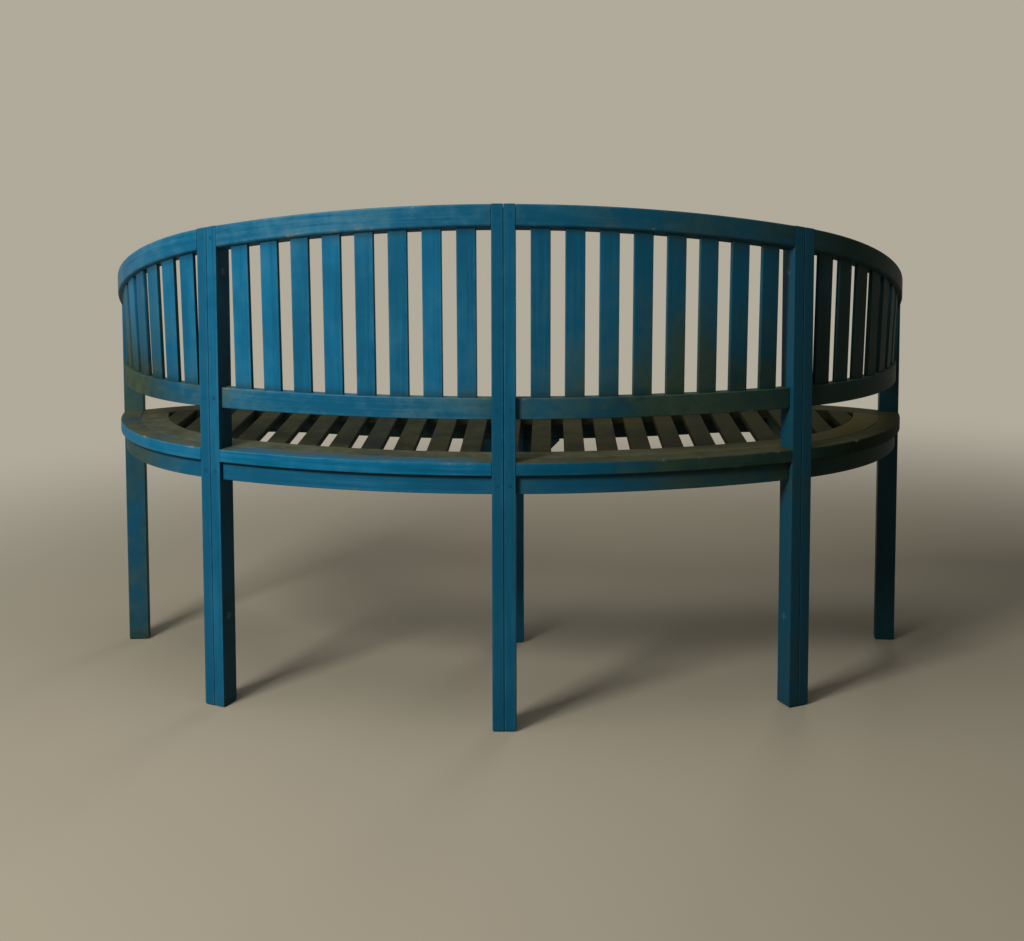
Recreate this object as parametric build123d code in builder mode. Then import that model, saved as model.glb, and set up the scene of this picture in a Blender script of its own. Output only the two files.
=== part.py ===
"""A slatted garden bench with a curved back, built as a joiner builds it.

Plan: the back is a wide arc in the middle and a tighter arc at each end, and the front edge of the seat is
bowed, with a hollow in the middle and a lobe at each side. Millimetres, +Z up. The sitter faces -Y, the left
side is +X, and the origin is on the floor, in the middle of the width and of the depth.
Angles in plan are measured from straight back (+Y), positive towards the left.
"""

import os
from math import asin, atan2, cos, degrees, radians, sin, tan

from build123d import *

os.makedirs("parts", exist_ok=True)

# Plan of the back and of the seat
BACK_RADIUS = 1195.0  # outer line of the two middle bays
BACK_ANGLE = 25.0  # the rear side posts stand here
SIDE_RADIUS = 424.0  # outer line of the end bays
END_ANGLE = 86.5  # front faces of the end posts
FRONT_HOLLOW = 68.0  # how far the middle of the front edge lies behind the lobes
LOBE_X = 480.0  # from the middle to the foremost point of a lobe
LOBE_RISE = 73.4  # how far that point lies before the inner front corners of the end posts

# Heights
SEAT_TOP = 452.0
BACK_HEIGHT = 876.0  # top rail's outer arris at the centre post
LOW_RAIL_BOTTOM = 522.0

# Posts and the front leg
STILE = 20.0  # thickness of one half post
POST_DEPTH = 37.0
FRONT_LEG_WIDTH = 48.0
LEG_BEHIND_APRON = 18.0
FOOT_CHAMFER = 3.0
JOINT_GROOVE = 1.2  # chamfer along the line where two half posts meet

# Rails, aprons and boards
RAIL = 22.0  # thickness of lower rails and aprons
RAIL_SETBACK = 9.0  # from a post's outer face to the face of a lower rail or apron
LOW_RAIL_HEIGHT = 35.0
APRON_HEIGHT = 32.0
TOP_RAIL = 24.0  # thickness of the top rail, in plan
TOP_PLANK = 33.5  # thickness of the plank that the top rail is sawn from
TOP_TILT = 22.0  # the plank falls towards the front by this angle
BOARD = 22.0  # thickness of the seat's border, ring and front board
RING_WIDTH = 50.0
FRONT_BOARD = 52.0
OVERHANG = 6.0  # front board over the front apron
BEARER_WIDTH = 40.0
SIDE_BEARER_WIDTH = 28.0
TOP_EASE = 3.0  # chamfer of the top rail's upper edges

# Slats
BACK_SLATS = 8  # in each bay
SLAT_WIDTH = 32.5
SLAT_THICK = 8.0
SEAT_SLAT = 35.0
SEAT_SLAT_THICK = 12.0
SEAT_GAP = 22.0
CENTRE_SLAT = 41.0

# Joinery and fasteners
TENON = 12.0
TENON_WEB = 4.0  # wood left between two tenons that enter one post
CHEEK = 6.0
SHOULDER = 6.0
SLAT_SHOULDER = 3.0  # from the faces of a seat slat to its tenon
HOUSING = 10.0  # depth that a back slat enters its rails
PIN = 6.0  # side of a square pin
PIN_LENGTH = 22.0
BOLT = 8.0
BOLT_HEAD = 14.0
BOLT_HEAD_THICK = 4.0
BOLT_SIDES = 6  # hexagon bar, head and nut
FOOT_BOLT = 158.0  # height of the lower bolts
HEAD_BOLT = 40.0  # upper bolts below the top rail
BRACKET = 72.0
BRACKET_THICK = 20.0

# Levels and depths that follow from the sizes above
seat_bottom = SEAT_TOP - BOARD
slat_bottom = SEAT_TOP - SEAT_SLAT_THICK
slat_tenon = SEAT_SLAT_THICK - 2 * SLAT_SHOULDER
apron_bottom = seat_bottom - APRON_HEIGHT
low_rail_top = LOW_RAIL_BOTTOM + LOW_RAIL_HEIGHT
post_room = 2 * BACK_HEIGHT  # more than any post needs before its top is cut
bearer_tenon = POST_DEPTH - RAIL_SETBACK - RAIL + CHEEK - TENON_WEB  # short of the apron tenons

# Centres of the plan's arcs, with the seat's depth shared out evenly before and behind the origin
centre_step = BACK_RADIUS - SIDE_RADIUS
corner_forward = centre_step * cos(radians(BACK_ANGLE)) + (SIDE_RADIUS - POST_DEPTH) * cos(radians(END_ANGLE))
seat_depth = BACK_RADIUS - corner_forward + LOBE_RISE
back_y = seat_depth / 2
front_y = -seat_depth / 2
back_centre = (0.0, back_y - BACK_RADIUS)
side_centre = (
    centre_step * sin(radians(BACK_ANGLE)),
    back_centre[1] + centre_step * cos(radians(BACK_ANGLE)),
)
MIDDLE_BAY = (back_centre, BACK_RADIUS, 0.0, BACK_ANGLE)
END_BAY = (side_centre, SIDE_RADIUS, BACK_ANGLE, END_ANGLE)
BAYS = {"": MIDDLE_BAY, "end_": END_BAY}

# The top rail's plank, with its upper face through the outer arris at the centre post
plank_top = Plane(
    origin=(0, back_y, BACK_HEIGHT),
    x_dir=(1, 0, 0),
    z_dir=(0, -sin(radians(TOP_TILT)), cos(radians(TOP_TILT))),
)


def on_arc(centre, radius, angle):
    """The plan point at an angle on an arc."""
    return (centre[0] + radius * sin(radians(angle)), centre[1] + radius * cos(radians(angle)))


def plank_level(y, depth):
    """Height of a layer of the top rail's plank, at a depth below its upper face."""
    return BACK_HEIGHT - (back_y - y) * tan(radians(TOP_TILT)) - depth / cos(radians(TOP_TILT))


# The front edge: each lobe's arc ends at the inner front corner of an end post, and meets the hollow's arc smoothly
end_corner = on_arc(side_centre, SIDE_RADIUS - POST_DEPTH, END_ANGLE)
lobe_radius = ((end_corner[0] - LOBE_X) ** 2 + LOBE_RISE**2) / (2 * LOBE_RISE)
lobe_centre = (LOBE_X, front_y + lobe_radius)
hollow_radius = (LOBE_X**2 + (lobe_radius - FRONT_HOLLOW) ** 2 - lobe_radius**2) / (2 * FRONT_HOLLOW)
hollow_centre = (0.0, front_y + FRONT_HOLLOW - hollow_radius)
meeting_angle = degrees(atan2(LOBE_X, lobe_centre[1] - hollow_centre[1]))


def strip(bay, outside, inside, gap=STILE):
    """Plan of a curved length between two posts, from one set-in of the outer line to another."""
    centre, radius, near, far = bay
    middle = (near + far) / 2
    outer, inner = radius - outside, radius - inside
    outer_turn, inner_turn = degrees(asin(gap / outer)), degrees(asin(gap / inner))
    with BuildSketch(mode=Mode.PRIVATE) as plan:
        with BuildLine():
            outer_arc = ThreePointArc(
                on_arc(centre, outer, near + outer_turn),
                on_arc(centre, outer, middle),
                on_arc(centre, outer, far - outer_turn),
            )
            inner_arc = ThreePointArc(
                on_arc(centre, inner, near + inner_turn),
                on_arc(centre, inner, middle),
                on_arc(centre, inner, far - inner_turn),
            )
            Line(outer_arc @ 0, inner_arc @ 0)
            Line(outer_arc @ 1, inner_arc @ 1)
        make_face()
    return plan.sketch


def tenons(bay, outside, inside):
    """Plan of the straight tenons at both ends of a curved length, rooted in it as deep as they stand out."""
    with BuildSketch(mode=Mode.PRIVATE) as plan:
        for angle, way in ((bay[2], 1), (bay[3], -1)):
            with Locations(post_plane(angle).location):
                with Locations((way * STILE, -(outside + inside) / 2)):
                    Rectangle(2 * TENON, inside - outside)
    return plan.sketch


def inside(inset):
    """Plan of all that lies inside the back's outer line, set in, and open towards the front."""
    side_radius = SIDE_RADIUS - inset
    reach = side_centre[0] + side_radius
    ahead = front_y - seat_depth
    with BuildSketch(mode=Mode.PRIVATE) as plan:
        with BuildLine():
            CenterArc(back_centre, BACK_RADIUS - inset, 90 - BACK_ANGLE, 2 * BACK_ANGLE)
            CenterArc(side_centre, side_radius, 0, 90 - BACK_ANGLE)
            CenterArc((-side_centre[0], side_centre[1]), side_radius, 90 + BACK_ANGLE, 90 - BACK_ANGLE)
            Polyline((reach, side_centre[1]), (reach, ahead), (-reach, ahead), (-reach, side_centre[1]))
        make_face()
    return plan.sketch


def behind_front(inset):
    """Plan of all that lies behind the seat's front edge, set back from it."""
    radius = lobe_radius - inset
    sweep = 60 + meeting_angle
    with BuildSketch(mode=Mode.PRIVATE) as plan:
        with BuildLine():
            CenterArc(hollow_centre, hollow_radius + inset, 90 - meeting_angle, 2 * meeting_angle)
            left = CenterArc(lobe_centre, radius, 270 - meeting_angle, sweep)
            right = CenterArc((-lobe_centre[0], lobe_centre[1]), radius, 270 + meeting_angle, -sweep)
            behind = seat_depth
            Polyline(left @ 1, ((left @ 1).X, behind), ((right @ 1).X, behind), right @ 1)
        make_face()
    return plan.sketch


def half_plan(start):
    """Plan of the left side, from a distance left of the middle."""
    with BuildSketch(mode=Mode.PRIVATE) as plan:
        with Locations((start, 0)):
            Rectangle(2 * BACK_RADIUS, 4 * seat_depth, align=(Align.MIN, Align.CENTER))
    return plan.sketch


def on_slope(plan, inset=0.0):
    """A plan raised and cut to the top rail's plank, or to a layer inside that plank."""
    with BuildPart(mode=Mode.PRIVATE) as layer:
        with BuildSketch():
            add(plan)
        extrude(amount=post_room)
        split(bisect_by=plank_top.offset(-inset), keep=Keep.BOTTOM)
        split(bisect_by=plank_top.offset(inset - TOP_PLANK), keep=Keep.TOP)
    return layer.part


def post_plane(angle):
    """Plane at a post's foot: x along the back towards the left, y outwards."""
    centre, radius = (back_centre, BACK_RADIUS) if angle <= BACK_ANGLE else (side_centre, SIDE_RADIUS)
    return Plane(
        origin=(*on_arc(centre, radius, angle), 0),
        x_dir=(cos(radians(angle)), -sin(radians(angle)), 0),
        z_dir=(0, 0, 1),
    )


def save(name, part):
    part.label = name
    export_step(part, f"parts/{name}.step")


def save_pair(name, left):
    """Write a piece of the left side and its mirror image on the right."""
    save(f"{name}_left", left)
    with BuildPart() as right:
        mirror(left, about=Plane.YZ)
    save(f"{name}_right", right.part)


# Half posts of the left side: the angle of their plane, and where they lie across it
STILES = {
    "centre_post": (0.0, STILE / 2),
    "rear_post_inner": (BACK_ANGLE, -STILE / 2),
    "rear_post_outer": (BACK_ANGLE, STILE / 2),
    "end_post": (END_ANGLE, -STILE / 2),
}

# Pins through the tenons at the top rail, the lower rail and the apron
with BuildPart() as pins:
    for angle, across in STILES.values():
        plane = post_plane(angle)
        top_level = plank_level(plane.origin.Y, TOP_PLANK / 2)
        for level in (top_level, LOW_RAIL_BOTTOM + LOW_RAIL_HEIGHT / 2, apron_bottom + APRON_HEIGHT / 2):
            face = Plane(origin=plane.from_local_coords((across, 0, level)), z_dir=plane.y_dir)
            with BuildSketch(face):
                Rectangle(PIN, PIN)
            extrude(amount=-PIN_LENGTH)

# Bolts that hold two half posts together, with a hexagon head and nut sunk in their sides
with BuildPart() as bolts:
    for angle in (0.0, BACK_ANGLE):
        plane = post_plane(angle)
        for level in (FOOT_BOLT, plank_level(plane.origin.Y, TOP_PLANK) - HEAD_BOLT):
            start = plane.from_local_coords((-STILE, -POST_DEPTH / 2, level))
            side = Plane(origin=start, z_dir=plane.x_dir)
            with BuildSketch(side):
                RegularPolygon(BOLT / 2, BOLT_SIDES)
            extrude(amount=2 * STILE)
            with BuildSketch(side, side.offset(2 * STILE - BOLT_HEAD_THICK)):
                RegularPolygon(BOLT_HEAD / 2, BOLT_SIDES)
            extrude(amount=BOLT_HEAD_THICK)

# Back slats, spread evenly in each bay, from the middle of the lower rail to the middle of the top rail
back_slats = {}
for bay_name, bay in BAYS.items():
    centre, radius, near, far = bay
    foot_radius = radius - RAIL_SETBACK - RAIL / 2
    head_radius = radius - TOP_RAIL / 2
    clear_angle = far - near - 2 * degrees(asin(STILE / foot_radius))
    slat_angle = degrees(SLAT_WIDTH / foot_radius)
    gap_angle = (clear_angle - BACK_SLATS * slat_angle) / (BACK_SLATS + 1)
    first = (near + far - clear_angle + slat_angle) / 2 + gap_angle
    with BuildPart() as slats:
        for number in range(BACK_SLATS):
            angle = first + number * (slat_angle + gap_angle)
            foot = Vector(*on_arc(centre, foot_radius, angle), LOW_RAIL_BOTTOM)
            head_x, head_y = on_arc(centre, head_radius, angle)
            head = Vector(head_x, head_y, plank_level(head_y, TOP_PLANK))
            with BuildSketch(Plane(foot, x_dir=post_plane(angle).x_dir, z_dir=head - foot)):
                Rectangle(SLAT_WIDTH, SLAT_THICK)
            extrude(amount=post_room)
        split(bisect_by=Plane.XY.offset(low_rail_top - HOUSING), keep=Keep.TOP)
        split(bisect_by=plank_top.offset(HOUSING - TOP_PLANK), keep=Keep.BOTTOM)
    back_slats[bay_name] = slats.part
    save_pair(f"{bay_name}back_slats", slats.part)

# Rails, aprons and borders of each bay, with a tenon at both ends of the rails and aprons
rails = []
for bay_name, bay in BAYS.items():
    top_body = on_slope(strip(bay, 0, TOP_RAIL))
    top_tenons = on_slope(tenons(bay, CHEEK, TOP_RAIL - CHEEK), SHOULDER)
    with BuildPart() as top_rail:
        add(top_body)
        upper = top_rail.faces().sort_by(Axis(plank_top.origin, plank_top.z_dir))[-1]
        chamfer(upper.edges().filter_by(GeomType.ELLIPSE), TOP_EASE)
        add(top_tenons)
        add(back_slats[bay_name], mode=Mode.SUBTRACT)
        add(pins.part, mode=Mode.SUBTRACT)
    rails.append(top_rail.part)
    save_pair(f"{bay_name}top_rail", top_rail.part)

    for name, bottom, height in (
        ("lower_rail", LOW_RAIL_BOTTOM, LOW_RAIL_HEIGHT),
        ("rear_apron", apron_bottom, APRON_HEIGHT),
    ):
        with BuildPart() as rail:
            with BuildSketch(Plane.XY.offset(bottom)):
                add(strip(bay, RAIL_SETBACK, RAIL_SETBACK + RAIL))
            extrude(amount=height)
            with BuildSketch(Plane.XY.offset(bottom + SHOULDER)):
                add(tenons(bay, RAIL_SETBACK + CHEEK, RAIL_SETBACK + RAIL - CHEEK))
            extrude(amount=height - 2 * SHOULDER)
            add(back_slats[bay_name], mode=Mode.SUBTRACT)
            add(pins.part, mode=Mode.SUBTRACT)
        rails.append(rail.part)
        save_pair(f"{bay_name}{name}", rail.part)

    with BuildPart() as border:
        with BuildSketch(Plane.XY.offset(seat_bottom)):
            add(strip(bay, 0, POST_DEPTH))
        extrude(amount=BOARD)
    save_pair(f"{bay_name}seat_border", border.part)

# Seat slats: the opening that they cross lies between the ring and the front board
slat_pitch = SEAT_SLAT + SEAT_GAP
first_slat = CENTRE_SLAT / 2 + SEAT_GAP + SEAT_SLAT / 2
ring_reach = side_centre[0] + SIDE_RADIUS - POST_DEPTH - RING_WIDTH
slat_count = int((ring_reach - CENTRE_SLAT / 2 - SEAT_GAP / 2) // slat_pitch)
slat_places = [first_slat + number * slat_pitch for number in range(slat_count)]


def slat_plan(place, width, reach):
    """Plan of one seat slat that reaches into the ring and the front board."""
    with BuildSketch(mode=Mode.PRIVATE) as plan:
        add(inside(POST_DEPTH + RING_WIDTH - reach))
        add(behind_front(FRONT_BOARD - reach), mode=Mode.INTERSECT)
        with Locations((place, 0)):
            Rectangle(width, 4 * seat_depth, mode=Mode.INTERSECT)
    return plan.sketch


def seat_slat(place, width):
    """One seat slat with a tenon at each end, cut to the curves of the ring and the front board."""
    with BuildPart(mode=Mode.PRIVATE) as slat:
        with BuildSketch(Plane.XY.offset(slat_bottom)):
            add(slat_plan(place, width, 0))
        extrude(amount=SEAT_SLAT_THICK)
        with BuildSketch(Plane.XY.offset(slat_bottom + SLAT_SHOULDER)):
            add(slat_plan(place, width - 2 * CHEEK, TENON))
        extrude(amount=slat_tenon)
    return slat.part


slat_parts = [seat_slat(place, SEAT_SLAT) for place in slat_places]
with BuildPart() as seat_slats:
    add(slat_parts)
save_pair("seat_slats", seat_slats.part)

with BuildPart() as centre_slat:
    add(seat_slat(0, CENTRE_SLAT))
save("centre_seat_slat", centre_slat.part)

# What the slats' tenons take out of the ring and the front boards
with BuildPart() as seat_mortises:
    with BuildSketch(Plane.XY.offset(slat_bottom + SLAT_SHOULDER)):
        add(slat_plan(0, CENTRE_SLAT - 2 * CHEEK, TENON))
        for place in slat_places:
            add(slat_plan(place, SEAT_SLAT - 2 * CHEEK, TENON))
    extrude(amount=slat_tenon)

# The ring inside the border, one length in each bay, and the front boards
for bay_name, bay in BAYS.items():
    with BuildPart() as ring:
        with BuildSketch(Plane.XY.offset(seat_bottom)):
            add(strip(bay, POST_DEPTH, POST_DEPTH + RING_WIDTH, 0))
            add(behind_front(FRONT_BOARD), mode=Mode.INTERSECT)
        extrude(amount=BOARD)
        add(seat_mortises.part, mode=Mode.SUBTRACT)
    save_pair(f"{bay_name}seat_ring", ring.part)

with BuildPart() as front_board:
    with BuildSketch(Plane.XY.offset(seat_bottom)):
        add(inside(POST_DEPTH))
        add(behind_front(0), mode=Mode.INTERSECT)
        add(behind_front(FRONT_BOARD), mode=Mode.SUBTRACT)
        add(half_plan(0), mode=Mode.INTERSECT)
    extrude(amount=BOARD)
    add(seat_mortises.part, mode=Mode.SUBTRACT)
save_pair("front_board", front_board.part)

# Front aprons, tenoned into the front leg and into the end posts
stile_face = end_corner[0]
apron_end_y = lobe_centre[1] - ((lobe_radius - OVERHANG) ** 2 - (stile_face - LOBE_X) ** 2) ** 0.5
end_tenon = end_corner[1] + STILE - apron_end_y - CHEEK  # what the end post leaves for its thickness
with BuildPart() as front_apron:
    with BuildSketch(Plane.XY.offset(apron_bottom)):
        add(inside(POST_DEPTH))
        add(behind_front(OVERHANG), mode=Mode.INTERSECT)
        add(behind_front(OVERHANG + RAIL), mode=Mode.SUBTRACT)
        add(half_plan(FRONT_LEG_WIDTH / 2), mode=Mode.INTERSECT)
    extrude(amount=APRON_HEIGHT)
    with BuildSketch(Plane.XY.offset(apron_bottom + SHOULDER)):
        add(behind_front(OVERHANG + CHEEK))
        add(behind_front(OVERHANG + RAIL - CHEEK), mode=Mode.SUBTRACT)
        with Locations((FRONT_LEG_WIDTH / 2, 0)):
            Rectangle(2 * TENON, 4 * seat_depth, mode=Mode.INTERSECT)
        with Locations((stile_face, apron_end_y + CHEEK / 2)):
            Rectangle(2 * bearer_tenon, end_tenon, align=(Align.CENTER, Align.MIN))
    extrude(amount=APRON_HEIGHT - 2 * SHOULDER)
save_pair("front_apron", front_apron.part)

# The front leg stands in the hollow of the front edge, with its front flush with the aprons
leg_front = front_y + FRONT_HOLLOW + OVERHANG
leg_back = leg_front + RAIL + LEG_BEHIND_APRON
with BuildPart() as centre_bearer:
    with Locations((0, leg_back, apron_bottom)):
        Box(
            BEARER_WIDTH,
            back_y - POST_DEPTH - leg_back,
            APRON_HEIGHT,
            align=(Align.CENTER, Align.MIN, Align.MIN),
        )
    with Locations((0, leg_back - bearer_tenon, apron_bottom + SHOULDER)):
        Box(
            BEARER_WIDTH - 2 * CHEEK,
            back_y - POST_DEPTH - leg_back + 2 * bearer_tenon,
            APRON_HEIGHT - 2 * SHOULDER,
            align=(Align.CENTER, Align.MIN, Align.MIN),
        )
    with BuildSketch(Plane.XY.offset(seat_bottom)):
        add(slat_plan(0, BEARER_WIDTH, 0))
    extrude(amount=slat_bottom - seat_bottom)
save("centre_bearer", centre_bearer.part)

with BuildPart() as right_front_apron:
    mirror(front_apron.part, about=Plane.YZ)
with BuildPart() as front_leg:
    with Locations((0, leg_front, 0)):
        Box(FRONT_LEG_WIDTH, leg_back - leg_front, seat_bottom, align=(Align.CENTER, Align.MIN, Align.MIN))
    chamfer(front_leg.faces().sort_by(Axis.Z)[0].edges(), FOOT_CHAMFER)
    add(front_apron.part, mode=Mode.SUBTRACT)
    add(right_front_apron.part, mode=Mode.SUBTRACT)
    add(centre_bearer.part, mode=Mode.SUBTRACT)
save("front_leg", front_leg.part)

with BuildPart() as bracket:
    corner = (FRONT_LEG_WIDTH / 2, leg_back - LEG_BEHIND_APRON, apron_bottom)
    bracket_face = Plane(origin=corner, x_dir=(1, 0, 0), z_dir=(0, -1, 0))
    with BuildSketch(bracket_face):
        with BuildLine():
            Polyline((0, 0), (BRACKET, 0), (0, -BRACKET), close=True)
        make_face()
    extrude(amount=BRACKET_THICK)
save_pair("corner_bracket", bracket.part)

# Half posts, cut by the tenons, pins and bolts that enter them
stile_parts = {}
for name, (angle, across) in STILES.items():
    plane = post_plane(angle)
    with BuildPart() as stile:
        with BuildSketch(plane):
            with Locations((across, -POST_DEPTH / 2)):
                Rectangle(STILE, POST_DEPTH)
        extrude(amount=post_room)
        split(bisect_by=plank_top, keep=Keep.BOTTOM)
        chamfer(stile.faces().sort_by(Axis.Z)[0].edges(), FOOT_CHAMFER)
        with BuildSketch(plane.offset(FOOT_CHAMFER)):
            RegularPolygon(JOINT_GROOVE, 4)
        extrude(amount=post_room, mode=Mode.SUBTRACT)
        for rail in rails:
            add(rail, mode=Mode.SUBTRACT)
        for other in (front_apron, centre_bearer, pins, bolts):
            add(other.part, mode=Mode.SUBTRACT)
    stile_parts[name] = stile.part
    save_pair(name, stile.part)

# Side bearers, from the apron to the front apron, under the seat slat nearest to a rear post
rear_post_x = post_plane(BACK_ANGLE).origin.X
bearer_place = min(slat_places, key=lambda place: abs(place - rear_post_x))
with BuildPart() as side_bearer:
    with BuildSketch(Plane.XY.offset(apron_bottom)):
        add(inside(RAIL_SETBACK + RAIL))
        add(behind_front(OVERHANG + RAIL), mode=Mode.INTERSECT)
        with Locations((bearer_place, 0)):
            Rectangle(SIDE_BEARER_WIDTH, 4 * seat_depth, mode=Mode.INTERSECT)
    extrude(amount=APRON_HEIGHT)
    with BuildSketch(Plane.XY.offset(seat_bottom)):
        add(slat_plan(bearer_place, SIDE_BEARER_WIDTH, 0))
    extrude(amount=slat_bottom - seat_bottom)
    for name in ("rear_post_inner", "rear_post_outer"):
        add(stile_parts[name], mode=Mode.SUBTRACT)
save_pair("side_bearer", side_bearer.part)

# Pins of both sides, and the bolts of all three rear posts, are groups of like pieces
with BuildPart() as all_pins:
    add(pins.part)
    mirror(pins.part, about=Plane.YZ)
save("joint_pins", all_pins.part)

with BuildPart() as all_bolts:
    add(bolts.part)
    for solid in bolts.part.solids():
        if solid.center().X > STILE:
            mirror(solid, about=Plane.YZ)
save("post_bolts", all_bolts.part)
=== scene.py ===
# %% [markdown]
# # A curved garden bench in weathered blue paint
#
# The bench is a joiner's piece: half posts bolted in pairs, rails sawn to a curve, slats let into the
# rails, and a slatted seat inside a round border. The imported frame already holds every piece at its
# true size. This lesson gives each piece the softened edges, the brush marks, the dirt and the bare
# arrises of an old painted bench, and paints some shade into the colour as well.

# %% Load the frame
from collections import namedtuple

import bpy
import numpy as np
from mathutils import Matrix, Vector


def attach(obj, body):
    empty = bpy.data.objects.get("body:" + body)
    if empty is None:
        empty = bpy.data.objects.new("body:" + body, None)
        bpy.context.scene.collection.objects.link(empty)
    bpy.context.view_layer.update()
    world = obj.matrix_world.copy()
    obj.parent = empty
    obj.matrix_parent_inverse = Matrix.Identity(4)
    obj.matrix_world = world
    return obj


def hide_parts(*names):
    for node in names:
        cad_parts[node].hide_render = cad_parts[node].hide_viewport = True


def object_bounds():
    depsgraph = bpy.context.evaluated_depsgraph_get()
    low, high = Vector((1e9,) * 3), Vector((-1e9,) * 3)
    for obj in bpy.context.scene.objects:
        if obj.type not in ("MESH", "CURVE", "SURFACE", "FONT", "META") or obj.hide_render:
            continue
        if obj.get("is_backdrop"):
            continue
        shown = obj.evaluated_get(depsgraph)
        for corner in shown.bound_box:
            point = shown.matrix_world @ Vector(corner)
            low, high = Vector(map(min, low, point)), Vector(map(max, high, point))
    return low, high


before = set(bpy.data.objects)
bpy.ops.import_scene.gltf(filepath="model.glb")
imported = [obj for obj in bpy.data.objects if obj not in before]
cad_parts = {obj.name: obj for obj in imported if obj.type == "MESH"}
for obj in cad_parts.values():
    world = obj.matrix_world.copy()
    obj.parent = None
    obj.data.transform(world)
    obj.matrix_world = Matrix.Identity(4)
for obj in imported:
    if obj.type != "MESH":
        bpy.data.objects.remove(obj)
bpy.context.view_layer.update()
scene = bpy.context.scene

# %% [markdown]
# ## The camera
#
# The bench is seen from behind, a little above the top rail, with the lens tilted down by a few
# degrees. Part of the tilt is taken by a small lens shift, as an architect's camera does, so that the
# legs stay almost upright.

# %% Camera
EYE = Vector((-0.0767, 2.6654, 0.9894))
CAMERA_TURN, CAMERA_TILT = 0.0027, 0.0824  # radians: to the left, and down
LENS = 52.38
SHIFT = (-0.034, -0.21)

camera = bpy.data.objects.new("camera", bpy.data.cameras.new("camera"))
camera.location = EYE
camera.rotation_euler = (np.pi / 2 - CAMERA_TILT, 0, np.pi + CAMERA_TURN)
camera.data.lens = LENS
camera.data.shift_x, camera.data.shift_y = SHIFT
scene.collection.objects.link(camera)
scene.camera = camera
scene.view_settings.view_transform = "Standard"
print("camera at", tuple(EYE))

# %% [markdown]
# ## Shader maths as Python
#
# A finish is a handful of masks mixed together. Written as nodes one by one it would fill pages, so a
# socket is wrapped in a small class: adding, subtracting or multiplying two of them adds the Math node
# that does it.


# %% Sockets that take part in arithmetic
class Number:
    """A value socket of a node tree, on which Python's operators add Math nodes."""

    def __init__(self, tree, socket):
        self.tree = tree
        self.socket = socket

    def math(self, operation, *values, clamp=False):
        settings = {"operation": operation, "use_clamp": clamp}
        return self.tree.node("ShaderNodeMath", settings, dict(enumerate(values)))

    def __add__(self, other):
        return self.math("ADD", self, other)

    def __sub__(self, other):
        return self.math("SUBTRACT", self, other)

    def __mul__(self, other):
        return self.math("MULTIPLY", self, other)

    def __rsub__(self, other):
        return self.math("SUBTRACT", other, self)

    __radd__ = __add__
    __rmul__ = __mul__

    def clamp(self):
        return self.math("ADD", self, 0.0, clamp=True)

    def between(self, low, high):
        """0 below low, 1 above high, and a smooth rise between; with low above high it falls."""
        settings = {"interpolation_type": "SMOOTHSTEP"}
        sockets = {"Value": self, "From Min": low, "From Max": high}
        return self.tree.node("ShaderNodeMapRange", settings, sockets)


# %% A node tree that builds itself
class Finish:
    """The node tree of a material or of the world, emptied and given an output."""

    def __init__(self, owner, output="ShaderNodeOutputMaterial"):
        owner.use_nodes = True
        self.owner = owner
        self.nodes = owner.node_tree.nodes
        self.links = owner.node_tree.links
        self.nodes.clear()
        self.output = self.nodes.new(output)

    def node(self, kind, settings=None, inputs=None, out=0):
        """Add a node, set its settings, then its sockets from values or links; give back one output."""
        made = self.nodes.new(kind)
        for key, value in (settings or {}).items():
            setattr(made, key, value)
        for key, value in (inputs or {}).items():
            if isinstance(value, Number):
                self.links.new(value.socket, made.inputs[key])
            else:
                made.inputs[key].default_value = value
        return Number(self, made.outputs[out])

    def mix(self, factor, first, second):
        """Colour mix: first where the factor is 0, second where it is 1."""
        sockets = {0: factor, 6: first, 7: second}
        return self.node("ShaderNodeMix", {"data_type": "RGBA", "clamp_factor": True}, sockets, out=2)

    def noise(self, vector, scale, detail=3.0, roughness=0.55):
        sockets = {"Vector": vector, "Scale": scale, "Detail": detail, "Roughness": roughness}
        return self.node("ShaderNodeTexNoise", None, sockets)

    def stretch(self, vector, factors):
        """A vector with each axis multiplied, so that a pattern runs along one of them."""
        return self.node("ShaderNodeVectorMath", {"operation": "MULTIPLY"}, {0: vector, 1: factors})

    def attribute(self, name):
        """A value that the mesh stores at its points."""
        return self.node("ShaderNodeAttribute", {"attribute_name": name}, out=2)

    def place(self):
        """Where a point lies, in metres."""
        return self.node("ShaderNodeTexCoord", out="Object")

    def axis(self, vector, name):
        """One coordinate of a vector: X, Y or Z."""
        return self.node("ShaderNodeSeparateXYZ", None, {0: vector}, out=name)

    def surface(self, shader):
        """Show a shader, and give back the material or world."""
        self.links.new(shader.socket, self.output.inputs["Surface"])
        return self.owner


def material(name):
    """A new material's node tree."""
    return Finish(bpy.data.materials.new(name))



# %% [markdown]
# ## Floor and light
#
# The bench stands on one pale, plain floor. Away from the bench the floor turns into the tone of the
# backdrop, so no horizon shows. A soft key lamp stands to the camera's left, higher than a person: it
# throws the legs' shadows away from us and to the right. A wide lamp hangs overhead, and a weak even
# light fills the rest. A small low lamp in front of the bench lights the side that the camera doesn't
# see. It stays out of reflections, so that it leaves no shine on the seat.

# %% Floor
BACKDROP = (0.44, 0.405, 0.33, 1)
FLOOR = (0.27, 0.248, 0.197, 1)
FLOOR_RADIUS = 14.0
FADE_CENTRE = (-0.45, 0.3, 0.0)
FADE_START, FADE_END = 1.2, 3.0  # metres from that centre


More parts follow.
